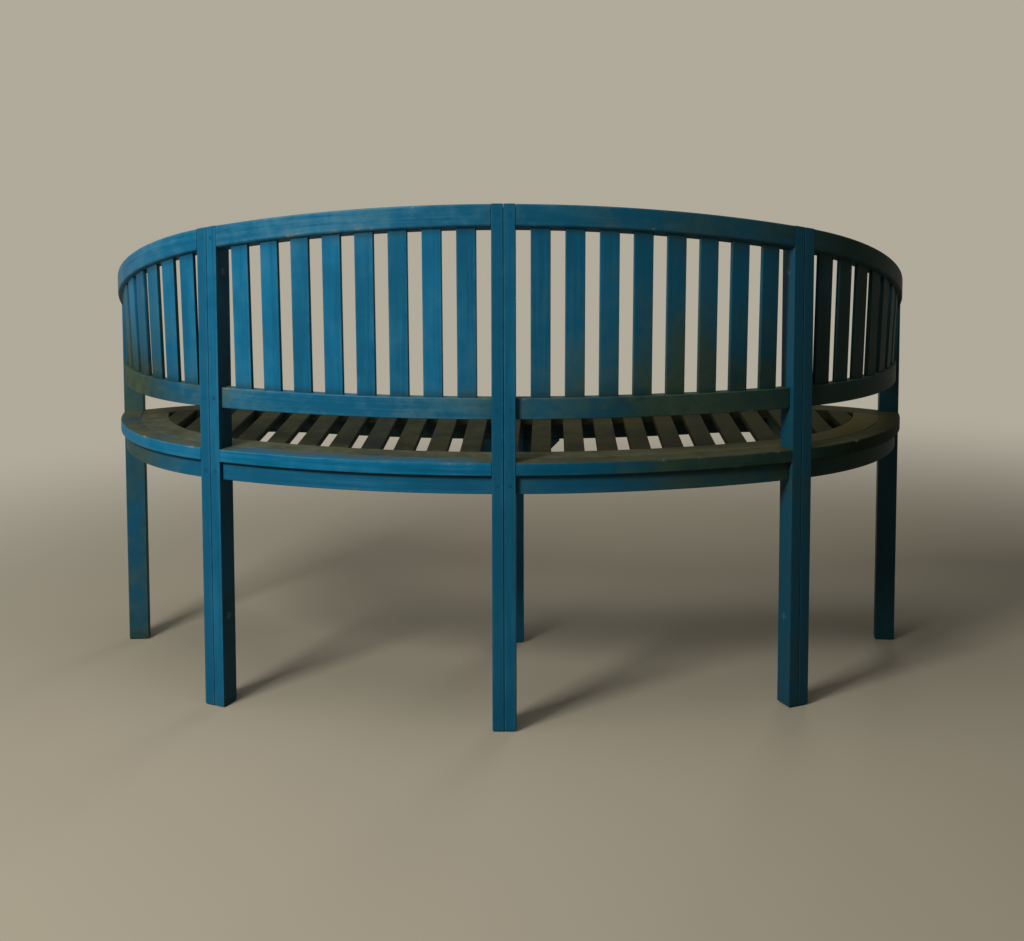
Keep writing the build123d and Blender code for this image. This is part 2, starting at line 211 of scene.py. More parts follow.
def floor_disc(radius, rings=40, turns=96, middle=0.02):
    """Flat rings about the origin: x = r cos(a), y = r sin(a), with r growing as the square of the ring."""
    r = radius * np.linspace(middle, 1, rings)[:, None] ** 2
    a = np.linspace(0, 2 * np.pi, turns, endpoint=False)[None]
    points = np.stack([r * np.cos(a), r * np.sin(a), 0 * r * a], -1).reshape(-1, 3)
    ring, turn = np.meshgrid(np.arange(rings - 1), np.arange(turns), indexing="ij")
    after = (turn + 1) % turns
    quads = np.stack([ring, ring + 1, ring + 1, ring], -1) * turns
    quads = quads + np.stack([turn, turn, after, after], -1)
    mesh = bpy.data.meshes.new("floor")
    mesh.from_pydata(points.tolist(), [], [list(range(turns))] + quads.reshape(-1, 4).tolist())
    disc = bpy.data.objects.new("floor", mesh)
    scene.collection.objects.link(disc)
    return disc


def seen_directly(tree):
    """1 for rays from the camera and for mirror-like rays, 0 for the rays that carry light."""
    kinds = ("Is Camera Ray", "Is Glossy Ray", "Is Transmission Ray")
    camera_ray, glossy_ray, through_ray = (tree.node("ShaderNodeLightPath", out=kind) for kind in kinds)
    return (camera_ray + glossy_ray + through_ray).clamp()


floor_finish = material("pale_floor")
span = {0: floor_finish.place(), 1: FADE_CENTRE}
away = floor_finish.node("ShaderNodeVectorMath", {"operation": "DISTANCE"}, span, out="Value")
far = away.between(FADE_START, FADE_END) * seen_directly(floor_finish)
matt = floor_finish.node("ShaderNodeBsdfDiffuse", None, {"Color": FLOOR})
glow = floor_finish.node("ShaderNodeEmission", None, {"Color": BACKDROP})
ground = floor_finish.node("ShaderNodeMixShader", None, {0: far, 1: matt, 2: glow})
floor = floor_disc(FLOOR_RADIUS)
floor.data.materials.append(floor_finish.surface(ground))
floor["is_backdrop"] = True
print("floor with", len(floor.data.polygons), "faces")

# %% Backdrop
EVEN_LIGHT, FILL = (0.93, 0.97, 1.0, 1), 0.02

sky = Finish(bpy.data.worlds.new("backdrop"), "ShaderNodeOutputWorld")
even = sky.node("ShaderNodeBackground", None, {"Color": EVEN_LIGHT, "Strength": FILL})
plain = sky.node("ShaderNodeBackground", None, {"Color": BACKDROP, "Strength": 1.0})
shown = sky.node("ShaderNodeMixShader", None, {0: seen_directly(sky), 1: even, 2: plain})
scene.world = sky.surface(shown)
print("world", scene.world.name, "with", len(sky.nodes), "nodes")

# %% Lamps
LAMP_COLOUR = (1.0, 0.965, 0.9)
LAMPS = {  # place, aim, size, power, spread in degrees and whether it shows in gloss
    "key": ((1.7, 2.1, 2.2), (0.0, 0.0, 0.35), 0.8, 95.0, 180.0, True),
    "overhead": ((0.7, 0.7, 4.0), (0.0, 0.0, 0.0), 2.6, 84.0, 180.0, True),
    "front": ((-0.9, -2.8, 0.8), (0.0, 0.0, 0.8), 1.2, 9.0, 60.0, False),
}

for lamp_name, (stand, aim, size, power, spread, in_gloss) in LAMPS.items():
    lamp = bpy.data.objects.new(lamp_name, bpy.data.lights.new(lamp_name, "AREA"))
    lamp.data.size = size
    lamp.data.energy = power
    lamp.data.spread = np.radians(spread)
    lamp.data.color = LAMP_COLOUR
    lamp.location = stand
    lamp.rotation_euler = (Vector(aim) - Vector(stand)).to_track_quat("-Z", "Y").to_euler()
    lamp.visible_camera = False
    lamp.visible_glossy = in_gloss
    scene.collection.objects.link(lamp)
    print(lamp_name, "lamp at", stand)

# %% [markdown]
# ## The bench's own sizes
#
# Every curve of the bench comes from a few arcs in plan: a wide one behind, a tighter one at each end,
# and a front edge with a hollow between two lobes. The sizes are those of the construction, in
# millimetres.

# %% Sizes in millimetres
MM = 0.001
BACK_RADIUS, BACK_ANGLE = 1195.0, 25.0
SIDE_RADIUS, END_ANGLE = 424.0, 86.5
FRONT_HOLLOW, LOBE_X, LOBE_RISE = 68.0, 480.0, 73.4
SEAT_TOP, BACK_HEIGHT, LOW_RAIL_BOTTOM = 452.0, 876.0, 522.0
STILE, POST_DEPTH, FOOT_CHAMFER = 20.0, 37.0, 3.0
FRONT_LEG_WIDTH, LEG_BEHIND_APRON = 48.0, 18.0
RAIL, RAIL_SETBACK, LOW_RAIL_HEIGHT, APRON_HEIGHT = 22.0, 9.0, 35.0, 32.0
TOP_RAIL, TOP_PLANK, TOP_TILT = 24.0, 33.5, np.radians(22.0)
BOARD, RING_WIDTH, FRONT_BOARD, OVERHANG = 22.0, 50.0, 52.0, 6.0
BEARER_WIDTH, SIDE_BEARER_WIDTH = 40.0, 28.0
BACK_SLATS, SLAT_WIDTH, SLAT_THICK = 8, 32.5, 8.0
SEAT_SLAT, SEAT_SLAT_THICK, SEAT_GAP, CENTRE_SLAT, SEAT_SLATS = 35.0, 12.0, 22.0, 41.0, 11
BRACKET, BRACKET_THICK = 72.0, 20.0

seat_bottom = SEAT_TOP - BOARD
slat_bottom = SEAT_TOP - SEAT_SLAT_THICK
apron_bottom = seat_bottom - APRON_HEIGHT
low_rail_top = LOW_RAIL_BOTTOM + LOW_RAIL_HEIGHT
back_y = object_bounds()[1].y / MM
front_y = -back_y


def on_arc(centre, radius, angle):
    """Plan point on an arc, with the angle in degrees from straight back (+Y) towards the left (+X)."""
    turn = np.radians(angle)
    return centre[0] + radius * np.sin(turn), centre[1] + radius * np.cos(turn)


back_centre = (0.0, back_y - BACK_RADIUS)
side_centre = on_arc(back_centre, BACK_RADIUS - SIDE_RADIUS, BACK_ANGLE)
end_corner = on_arc(side_centre, SIDE_RADIUS - POST_DEPTH, END_ANGLE)
lobe_radius = ((end_corner[0] - LOBE_X) ** 2 + LOBE_RISE**2) / (2 * LOBE_RISE)
lobe_centre = (LOBE_X, front_y + lobe_radius)
hollow_radius = (LOBE_X**2 + (lobe_radius - FRONT_HOLLOW) ** 2 - lobe_radius**2) / (2 * FRONT_HOLLOW)
hollow_centre = (0.0, front_y + FRONT_HOLLOW - hollow_radius)
meeting = np.degrees(np.arctan2(LOBE_X, lobe_centre[1] - hollow_centre[1]))
BAYS = {  # centre, radius, and the angles of the posts at both ends
    "": (back_centre, BACK_RADIUS, 0.0, BACK_ANGLE),
    "end_": (side_centre, SIDE_RADIUS, BACK_ANGLE, END_ANGLE),
}
print("seat is", round(2 * back_y), "mm deep, and the lobes' arcs are", round(lobe_radius), "mm in radius")

# %% [markdown]
# ## A stick of timber
#
# Nearly every piece is a sawn section carried along a line: straight for a post or a slat, an arc for a
# rail. Real edges are never knife-sharp after years of sanding and paint, so the section's corners are
# small arcs. Each point also keeps its distance from the nearest arris and from the nearest end,
# because that is where paint wears through and where dirt collects.

# %% Sections and sticks
Section = namedtuple("Section", "ring edge around")
Stick = namedtuple("Stick", "points edge around along")
ARC_POINTS = 4
EDGE = 1.6  # usual rounding of an arris
END_EASE = (0.4, 0.4)  # usual rounding of a stick's two ends
RAIL_EASE = (0.3, 0.3)  # at the ends that butt against a post
GRAIN_SPREAD = 9000.0  # no two sticks show the same stretch of grain
rng = np.random.default_rng(11)


def unit(vectors):
    """The same directions, with length 1."""
    return vectors / np.linalg.norm(vectors, axis=-1, keepdims=True)


def outline(corners, ease=EDGE):
    """A polygon whose corners are arcs that touch both sides, with a point at the middle of each side.

    The arc's centre lies on the corner's bisector, ease / sin(half the corner) from it."""
    corners = np.asarray(corners, float)
    before = unit(np.roll(corners, 1, 0) - corners)
    after = unit(np.roll(corners, -1, 0) - corners)
    half = np.arccos(np.sum(before * after, 1, keepdims=True)) / 2
    centre = corners + unit(before + after) * ease / np.sin(half)
    first = corners + before * ease / np.tan(half) - centre
    last = corners + after * ease / np.tan(half) - centre
    k = np.linspace(0, 1, ARC_POINTS)[None, :, None]
    arcs = centre[:, None] + ease * unit(first[:, None] * (1 - k) + last[:, None] * k)
    following = np.roll(arcs[:, 0], -1, 0)
    middles = (arcs[:, -1] + following) / 2
    half_sides = np.linalg.norm(following - arcs[:, -1], axis=1) / 2
    ring = np.concatenate([arcs, middles[:, None]], 1).reshape(-1, 2)
    edge = np.concatenate([np.zeros(arcs.shape[:2]), half_sides[:, None]], 1).ravel()
    steps = np.linalg.norm(np.roll(ring, -1, 0) - ring, axis=1)
    return Section(ring, edge, np.concatenate([[0], np.cumsum(steps)]))


def sawn(width, height, ease=EDGE):
    """Section of a plain stick, from (0, 0) to (width, height)."""
    return outline([(0, 0), (width, 0), (width, height), (0, height)], ease)


def carried(section, place, length, rings, ends=END_EASE):
    """Carry a section along a line: place(t, a, b) gives the points for t from 0 to 1 and section (a, b).

    The first and last rings are drawn in by the ends' easing, which rounds the stick's ends."""
    low, high = ends[0] / length, 1 - ends[1] / length
    t = np.concatenate([[0], np.linspace(low, high, rings), [1]])[:, None]
    a, b = (np.repeat(axis[None], len(t), 0) for axis in section.ring.T)
    for ring, ease in ((0, ends[0]), (-1, ends[1])):
        for axis in (a, b):
            middle, size = (axis[ring].max() + axis[ring].min()) / 2, np.ptp(axis[ring])
            axis[ring] = middle + (axis[ring] - middle) * (1 - 2 * ease / size)
    points = np.stack(np.broadcast_arrays(*place(t, a, b)), -1)
    return facing_out(Stick(points, section.edge, section.around, t[:, 0] * length))


# %% The skin of a stick
def skin(stick):
    """Corner numbers of a stick's faces: quads between rings, and a fan of triangles on each end."""
    rings, count = stick.points.shape[:2]
    i, j = np.meshgrid(np.arange(rings - 1), np.arange(count), indexing="ij")
    ring = np.stack([i, i, i + 1, i + 1], -1)
    place = np.stack([j, j + 1, j + 1, j], -1)
    k = np.arange(count)
    following = (k + 1) % count
    last = (rings - 1) * count
    fans = np.concatenate([
        np.stack([np.full(count, rings * count), following, k], -1),
        np.stack([np.full(count, rings * count + 1), last + k, last + following], -1),
    ])
    return ring, place, ring * count + place % count, fans


def with_middles(stick):
    """All points of a stick: its rings, then the middle of each end."""
    return np.concatenate([stick.points.reshape(-1, 3), stick.points[[0, -1]].mean(1)])


def facing_out(stick):
    """The stick as it is, or with its section read backwards where its faces would point inwards.

    The sign of the volume tells: a sixth of the sum of p . (q x r) over the triangles of the skin."""
    quads, fans = skin(stick)[2:]
    quads = quads.reshape(-1, 4)
    triangles = with_middles(stick)[np.concatenate([quads[:, :3], quads[:, [0, 2, 3]], fans])]
    p, q, r = np.moveaxis(triangles, 1, 0)
    if np.sum(p * np.cross(q, r)) > 0:
        return stick
    around = stick.around[-1] - stick.around[::-1]
    return Stick(stick.points[:, ::-1], stick.edge[::-1], around, stick.along)


def mirrored(stick):
    """The same stick on the other side of the bench."""
    return facing_out(stick._replace(points=stick.points * (-1, 1, 1)))


# %% From sticks to a mesh
FACE_AREA_WEIGHT = 100  # large faces shade flat, and the small arcs take the turn


def grain_map(stick, ring, place, fans):
    """Grain coordinates of every face corner: along and around the stick, and flat across its ends."""
    sides = np.stack([stick.along[ring], stick.around[place]], -1)
    corners = with_middles(stick)[fans]
    ends = np.stack([corners[..., 0], corners[..., 1] + corners[..., 2]], -1)
    return np.concatenate([sides.reshape(-1, 2), ends.reshape(-1, 2)])


def piece(node, sticks, finish):
    """Join sticks into one object for a CAD node, with its grain, arris, end and tone stored."""
    points, faces, grain, count = [], [], [], 0
    stored = {"edge": [], "end": [], "tone": []}
    for stick in sticks:
        ring, place, quads, fans = skin(stick)
        rings, around = stick.points.shape[:2]
        faces += (quads.reshape(-1, 4) + count).tolist() + (fans + count).tolist()
        points.append(with_middles(stick))
        grain.append(grain_map(stick, ring, place, fans) + rng.uniform(0, GRAIN_SPREAD, 2))
        reach = np.minimum(stick.along, stick.along[-1] - stick.along)
        stored["edge"].append(np.concatenate([np.tile(stick.edge, rings), [stick.edge.max()] * 2]))
        stored["end"].append(np.concatenate([np.repeat(reach, around), [0, 0]]))
        stored["tone"].append(np.full(len(points[-1]), rng.uniform()))
        count += len(points[-1])
    mesh = bpy.data.meshes.new(f"{node}_timber")
    mesh.from_pydata((np.concatenate(points) * MM).tolist(), [], faces)
    mesh.polygons.foreach_set("use_smooth", np.ones(len(faces), bool))
    layer = mesh.uv_layers.new(name="grain")
    layer.data.foreach_set("uv", (np.concatenate(grain) * MM).astype(np.float32).ravel())
    for name, values in stored.items():
        attribute = mesh.attributes.new(name, "FLOAT", "POINT")
        attribute.data.foreach_set("value", np.concatenate(values).astype(np.float32))
    made = bpy.data.objects.new(f"{node}_timber", mesh)
    scene.collection.objects.link(made)
    made.modifiers.new("even shading", "WEIGHTED_NORMAL").weight = FACE_AREA_WEIGHT
    mesh.materials.append(finish)
    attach(made, "root")
    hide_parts(node)
    print(node, "is", len(sticks), "sticks with", len(faces), "faces")


def pair(name, sticks, finish):
    """The left piece, and its mirror image on the right."""
    piece(f"{name}_left", sticks, finish)
    piece(f"{name}_right", [mirrored(stick) for stick in sticks], finish)


# %% [markdown]
# ## Blue paint that has stood outdoors
#
# The paint is a deep blue with a green cast, brushed along the grain. Sun and rain leave it uneven:
# streaks along the timber, paler arrises where hands and sleeves rubbed, bare grey wood at the sharpest
# spots, and an olive film of algae where water stands, most of all on the seat and low on the shaded
# side. Shade is painted in too: towards the right, away from the key lamp, the blue is duller and the
# film thicker and darker, partly real film and partly painted shade; faces turned from that lamp,
# backward faces under the seat, a line below the seat's boards and the far right end get painted shade.
# Each of these is a mask made from noise and from the distances that the sticks carry.

# %% Colours of paint, film and wood, and of painted shade
BLUE = (0.004, 0.132, 0.27, 1)
DEEP_BLUE = (0.002, 0.082, 0.165, 1)
CHALKY_BLUE = (0.06, 0.2, 0.3, 1)
# A dull blue: in patches on the pins, and as painted shade towards the right of the bench
SHADE_AND_DULL_BLUE = (0.002, 0.042, 0.07, 1)
OLIVE = (0.04, 0.062, 0.026, 1)
SHADE_GREEN = (0.006, 0.022, 0.019, 1)
DARK_OLIVE = (0.014, 0.013, 0.003, 1)
GREY_WOOD = (0.17, 0.165, 0.135, 1)
SEAT_GREEN = (0.062, 0.064, 0.026, 1)
SEAT_BROWN = (0.043, 0.037, 0.009, 1)
RING_GREEN = (0.085, 0.094, 0.056, 1)
BORDER_BROWN = (0.024, 0.024, 0.009, 1)

# %% Where the weather works, and where shade is painted
STREAKS, FIBRES = (5.0, 160.0, 1.0), (22.0, 900.0, 1.0)  # per metre along and around a stick
RUBBED_ARRIS, BARE_ARRIS = (3.2, 0.2), (1.5, 0.1)  # millimetres from an arris
# Near a stick's end: real dirt, dark end grain, and dark ends at the joints that are partly painted shade
END_DIRT, JOINT_SHADE, END_GRAIN = (45.0, 4.0), (16.0, 1.0), (1.4, 0.1)  # millimetres from an end
# Towards the right, away from the key lamp, the blue is painted duller as shade, and the film grows thicker
# and darker, partly real film and partly painted shade
SHADED_SIDE, SHADE_PAINTED_SIDE = (0.12, -0.5), (0.3, -0.35)  # metres across, from the sunny side
# Painted shade at the far right end, where the back shades the seat; the far left gets real film
SHADE_PAINTED_END, FAR_SHADE, LEFT_END = (-0.4, -0.62), (-0.42, -0.66), (0.46, 0.7)
LOW, LOW_END = (0.75, 0.4), (0.75, 0.56)  # metres above the floor
# Painted shade: a dark line on the aprons just below the seat's boards, where the border overhangs them
UNDER_BOARDS = ((seat_bottom - 6.0) * MM, (seat_bottom - 2.0) * MM)
# Faces turned from the key lamp (normal towards -X) and faces looking backwards get painted shade; upward
# faces get real standing film
FACING_UP, FACING_BACK, FACING_AWAY_FROM_KEY = (0.3, 0.9), (0.3, 0.8), (-0.4, -0.8)  # of the normal
# How strongly painted shade dulls the blue on the right; how much film covers the paint
SHADE_PAINTED_SHARE, FILM_COVER = 0.65, 0.94
BUMP_STRENGTH, BUMP_DEPTH = 0.28, 0.0012

SHARES = {
    "grime": 0.0,  # film everywhere, or less of it where below 0
    "standing": 0.1,  # film where water stands
    "wear": 0.3,  # bare arrises
    "faded": 0.0,  # bright blue, or deep blue where below 0
    # Pale chalky patches; on the rails the large share also stands for a painted sheen
    "chalky": 0.34,  # pale patches
    "gloss": 0.14,
    # Painted shade on faces that look backwards, under the seat
    "sheltered": 0.0,  # film on faces that look backwards
    # Painted shade: a dark line below the seat's boards
    "tucked": 0.0,  # dark line below the seat's boards
    # Dark slat ends near the rails: partly dirt, partly painted shade of the rails
    "jointed": 0.0,  # dark ends
    # Film low on the right side: partly real film, partly painted shade
    "damp": 0.18,  # film low on the shaded side
    "left_end": 0.34,  # film low at the far left
    "sides": None,  # two other film colours for faces that don't look up
}
Weather = namedtuple("Weather", SHARES, defaults=SHARES.values())
Pattern = namedtuple("Pattern", "streaks fibres clouds mottle specks")
Spot = namedtuple("Spot", "x z settled backward leeward shaded far_shade edge end tone")
print("weather has", len(SHARES), "shares")


# %% Patterns and places
def patterns(paint, place):
    """Noise of five sizes: streaks and fibres along the grain, then clouds, mottle and specks."""
    grain = paint.node("ShaderNodeUVMap", {"uv_map": "grain"})
    return Pattern(
        streaks=paint.noise(paint.stretch(grain, STREAKS), 1.0, 4.0, 0.6),
        fibres=paint.noise(paint.stretch(grain, FIBRES), 1.0, 3.0, 0.6),
        clouds=paint.noise(place, 7.0, 4.0, 0.6),
        mottle=paint.noise(place, 38.0, 4.0, 0.65),
        specks=paint.noise(place, 260.0, 2.0, 0.6),
    )


def spot_on(paint, place):
    """Where a point lies on the bench, which way it faces, and how near an arris or an end it is."""
    normal = paint.node("ShaderNodeNewGeometry", out="Normal")
    x = paint.axis(place, "X")
    return Spot(
        x=x,
        z=paint.axis(place, "Z"),
        settled=paint.axis(normal, "Z").between(*FACING_UP),
        # Faces looking backwards and faces turned from the key lamp get painted shade
        backward=paint.axis(normal, "Y").between(*FACING_BACK),
        leeward=paint.axis(normal, "X").between(*FACING_AWAY_FROM_KEY),
        # The right side and its far end, where painted shade is laid on the paint and the film
        shaded=x.between(*SHADED_SIDE),
        far_shade=x.between(*FAR_SHADE),
        edge=paint.attribute("edge"),
        end=paint.attribute("end"),
        tone=paint.attribute("tone"),
    )


# %% Layers of the paint
def blue_coat(paint, pattern, at, weather):
    """Blue along the brush marks, pale chalk in patches, rubbed on the arrises, and painted shade: duller
    towards the right, away from the key lamp.
    """
    streaks, _, clouds, mottle, _ = pattern
    fade = streaks * 0.55 + clouds * 0.45 + at.tone * 0.24 + weather.faded - 0.12
    colour = paint.mix(fade.between(0.34, 0.72), DEEP_BLUE, BLUE)
    chalk = (mottle * 0.3 + clouds * 0.4 + streaks * 0.3).between(0.44, 0.68)
    # Pale chalky patches, which on the rails also stand for a painted sheen on their lit faces
    colour = paint.mix(chalk * weather.chalky, colour, CHALKY_BLUE)
    rubbed = at.edge.between(*RUBBED_ARRIS) * (mottle * 0.5 + clouds * 0.5).between(0.36, 0.62)
    colour = paint.mix(rubbed * 0.18, colour, CHALKY_BLUE)
    # Painted shade: the blue dulls towards the right side, away from the key lamp, and more at the far
    # right end
    dull = at.x.between(*SHADE_PAINTED_SIDE) * SHADE_PAINTED_SHARE + at.x.between(*SHADE_PAINTED_END) * 0.3
    return paint.mix(dull, colour, SHADE_AND_DULL_BLUE)


def film_mask(pattern, at, weather):
    """Where algae and dirt lie: a cloudy pattern, raised wherever the bench stays wet, and raised as
    painted shade on the right side, on faces turned from the key lamp and on faces that look backwards.
    """
    low = at.z.between(*LOW)
    far_left = at.x.between(*LEFT_END) * at.z.between(*LOW_END)
    amount = weather.grime + at.settled * weather.standing
    # More film towards the right, away from the key lamp, and low down: partly real film, partly painted
    # shade
    amount = amount + at.shaded * (low * weather.damp + 0.2) + low * 0.06
    amount = amount + at.end.between(*END_DIRT) * 0.06 + far_left * weather.left_end
    # Painted shade: film on backward faces under the seat and on faces turned from the key lamp
    amount = amount + at.backward * weather.sheltered + at.leeward * 0.3
    cloudy = pattern.clouds * 0.6 + pattern.mottle * 0.1 + pattern.streaks * 0.3
    return (cloudy + amount - 0.5).between(0.03, 0.44)


def film_colour(paint, pattern, at, film, film_dark, sides):
    """Two tones of film in patches, with the dark one leading as painted shade towards the right, at the
    far right end and on faces turned from the key lamp.
    """
    # Painted shade: the dark film takes over towards the right, at the far right end and on faces turned
    # from the key lamp
    thin = (1 - at.shaded * 0.6 - at.far_shade * 0.2) * (1 - at.leeward * 0.8)
    patch = (pattern.mottle * 0.4 + pattern.clouds * 0.6).between(0.36, 0.64) * thin
    colour = paint.mix(patch, film_dark, film)
    if sides:
        colour = paint.mix(at.settled, paint.mix(patch, *sides), colour)
    return colour


# %% The whole finish
def weathered_paint(name, film, film_dark, shares):
    """Blue paint, then a film of dirt, then bare arrises and dark joints; painted shade runs through the
    blue, the film and the dark lines.
    """
    weather = Weather(**shares)
    paint = material(name)
    place = paint.place()
    pattern = patterns(paint, place)
    at = spot_on(paint, place)
    streaks, fibres, clouds, mottle, specks = pattern

    mask = film_mask(pattern, at, weather)
    colour = blue_coat(paint, pattern, at, weather)
    dirt = film_colour(paint, pattern, at, film, film_dark, weather.sides)
    colour = paint.mix(mask * FILM_COVER, colour, dirt)
    # Painted shadow: the far right end darkens, where the back shades it
    colour = paint.mix(at.far_shade * 0.4, colour, film_dark)

    worn = mottle * 0.55 + specks * 0.2 + clouds * 0.25 + weather.wear * 0.3
    bare = at.edge.between(*BARE_ARRIS) * worn.between(0.66, 0.74)
    colour = paint.mix(bare, colour, GREY_WOOD)
    # Dark end grain and joints, with dark slat ends near the rails that are partly painted shade
    corners = at.end.between(*END_GRAIN) * 0.3 + at.end.between(*JOINT_SHADE) * weather.jointed
    # Painted shade: a dark line just below the seat's boards
    corners = corners + at.z.between(*UNDER_BOARDS) * weather.tucked
    colour = paint.mix(corners, colour, film_dark)

    roughness = 0.42 + mask * 0.22 + bare * 0.3 + (mottle - 0.5) * 0.18
    relief = streaks * 0.35 + fibres * 0.3 + mottle * 0.2 + specks * 0.08 - bare * 0.5
    heights = {"Strength": BUMP_STRENGTH, "Distance": BUMP_DEPTH, "Height": relief}
    sockets = {"Base Color": colour, "Roughness": roughness, "Specular IOR Level": weather.gloss}
    sockets["Normal"] = paint.node("ShaderNodeBump", None, heights)
    return paint.surface(paint.node("ShaderNodeBsdfPrincipled", None, sockets))


# %% Nine paints
FINISHES = {  # name, two colours of the film, and the shares that differ from the usual ones
    "post": (
        "weathered_blue_posts", OLIVE, SHADE_GREEN,
        {"grime": -0.14, "wear": 0.1, "faded": -0.18, "chalky": 0.08, "damp": 0.0},
    ),
    # The rails' pale patches are partly dust and partly a painted sheen on their lit faces
    "rail": (
        "weathered_blue_rails", OLIVE, SHADE_GREEN,
        {"grime": 0.05, "chalky": 0.7, "damp": 0.45},
    ),
    # The aprons get the painted shade of a dark line below the boards
    "apron": (
        "weathered_blue_aprons", OLIVE, SHADE_GREEN,
        {"grime": -0.12, "faded": -0.14, "chalky": 0.2, "tucked": 0.9},
    ),
    # The front apron's backward face, seen through the seat's gaps, gets painted shade and a dark line
    # below the boards
    "front": (
        "blue_apron_with_painted_shade", DARK_OLIVE, SHADE_GREEN,
        {"grime": -0.02, "sheltered": 0.6, "tucked": 0.5},
    ),
    # The slats' dark ends near the rails are partly dirt and partly painted shade
    "slat": (
        "weathered_blue_slats", OLIVE, SHADE_GREEN,
        {"grime": -0.02, "wear": 0.1, "chalky": 0.22, "jointed": 0.45, "damp": 0.5},
    ),
    "border": (
        "weathered_blue_border", SEAT_GREEN, BORDER_BROWN,
        {"grime": -0.14, "standing": 0.36, "gloss": 0.03, "damp": 0.34, "left_end": 0.12,
         "sides": (SHADE_GREEN, OLIVE)},
    ),
    # The front board's backward face gets painted shade
    "board": (
        "blue_board_with_painted_shade", SEAT_BROWN, DARK_OLIVE,
        {"standing": 0.3, "gloss": 0.07, "sheltered": 0.5},
    ),
    "ring": (
        "grimy_blue_ring", RING_GREEN, SEAT_BROWN,
        {"grime": 0.2, "standing": 0.2, "wear": 0.2, "gloss": 0.02, "left_end": 0.0},
    ),
    # The seat's heavy film is its real olive-brown, and it also darkens the slats' sides in the gaps as
    # painted shade
    "seat": (
        "grimy_blue_seat", SEAT_BROWN, DARK_OLIVE,
        {"grime": 0.3, "standing": 0.1, "wear": 0.2, "gloss": 0.02},
    ),
}
paints = {use: weathered_paint(*finish) for use, finish in FINISHES.items()}
print("paints made:", [paint.name for paint in paints.values()])

# %% [markdown]
# ## Posts
#
# Each post behind is two half posts side by side, with a fine groove between them; the end posts are
# single halves. All their heads are sawn to the slope of the top rail, and their feet are chamfered so
# that they don't split when the bench is dragged.


# %% Posts
PROUD = 0.3  # by which pins and bolt heads stand out of the worn posts
POST_EDGE = 1.1
HEAD_EASE = 0.6


def plank_level(y, depth):
    """Height of a layer of the sloping top rail's plank, at a depth below its upper face."""
    return BACK_HEIGHT - (back_y - y) * np.tan(TOP_TILT) - depth / np.cos(TOP_TILT)


def post(angle, across):
    """A half post on its own axes, with z running from 0 to the slope above each point."""
    centre, radius = (back_centre, BACK_RADIUS) if angle <= BACK_ANGLE else (side_centre, SIDE_RADIUS)
    turn = np.radians(angle)
    origin = on_arc(centre, radius, angle)
    half = STILE / 2 - PROUD
    corners = [(-half, PROUD), (half, PROUD), (half, POST_DEPTH), (-half, POST_DEPTH)]

    def place(t, a, b):
        sideways = across + a
        x = origin[0] + sideways * np.cos(turn) - b * np.sin(turn)
        y = origin[1] - sideways * np.sin(turn) - b * np.cos(turn)
        return x, y, t * plank_level(y, 0)

    section = outline(corners, POST_EDGE)
    return carried(section, place, BACK_HEIGHT, rings=24, ends=(FOOT_CHAMFER, HEAD_EASE))


POSTS = {  # angle, and the offset across the post's middle line
    "centre_post": (0.0, STILE / 2),
    "rear_post_inner": (BACK_ANGLE, -STILE / 2),
    "rear_post_outer": (BACK_ANGLE, STILE / 2),
    "end_post": (END_ANGLE, -STILE / 2),
}
for name, (angle, across) in POSTS.items():
    pair(name, [post(angle, across)], paints["post"])

# %% [markdown]
# ## Curved rails, aprons and the seat's border
#
# These are sawn to the arcs of the plan and fit between the posts. The top rail is cut from a plank
# that slopes down towards the front, so its height follows the plane of that plank.


# %% Rails
TOP_EDGE, BOARD_EDGE = 3.0, 2.2


def curved(bay, section, level, setback, gap=STILE, rings=40, far_angle=None):
    """A section carried round a bay: a is the set-in from the outer line, level(y, b) the height."""
    centre, radius, near, far = bay

    def place(t, a, b):
        r = radius - setback - a
        turn = np.degrees(np.arcsin(gap / r))
        last = far - turn if far_angle is None else far_angle(r)
        x, y = on_arc(centre, r, near + turn + t * (last - near - turn))
        return x, y, level(y, b)

    length = radius * np.radians(far - near)
    return carried(section, place, length, rings, RAIL_EASE)


def flat_level(top):
    """Height of a level piece, measured down from its top."""
    return lambda y, b: top - b


for prefix, bay in BAYS.items():
    top_rail = curved(bay, sawn(TOP_RAIL, TOP_PLANK, TOP_EDGE), plank_level, 0)
    pair(f"{prefix}top_rail", [top_rail], paints["rail"])
    low_rail = curved(bay, sawn(RAIL, LOW_RAIL_HEIGHT), flat_level(low_rail_top), RAIL_SETBACK)
    pair(f"{prefix}lower_rail", [low_rail], paints["rail"])
    rear_apron = curved(bay, sawn(RAIL, APRON_HEIGHT), flat_level(seat_bottom), RAIL_SETBACK)
    pair(f"{prefix}rear_apron", [rear_apron], paints["apron"])
    border = curved(bay, sawn(POST_DEPTH, BOARD, BOARD_EDGE), flat_level(SEAT_TOP), 0)
    pair(f"{prefix}seat_border", [border], paints["border"])

# %% [markdown]
# ## Back slats
#
# Thin slats stand evenly between the posts. They lean outwards a little, because the top rail lies
# further out than the lower rail. Each is cut off by the lower rail's top and by the slope of the top
# rail's underside.


# %% Back slats
SUNK = 1.0  # by which a slat's ends go into the rails


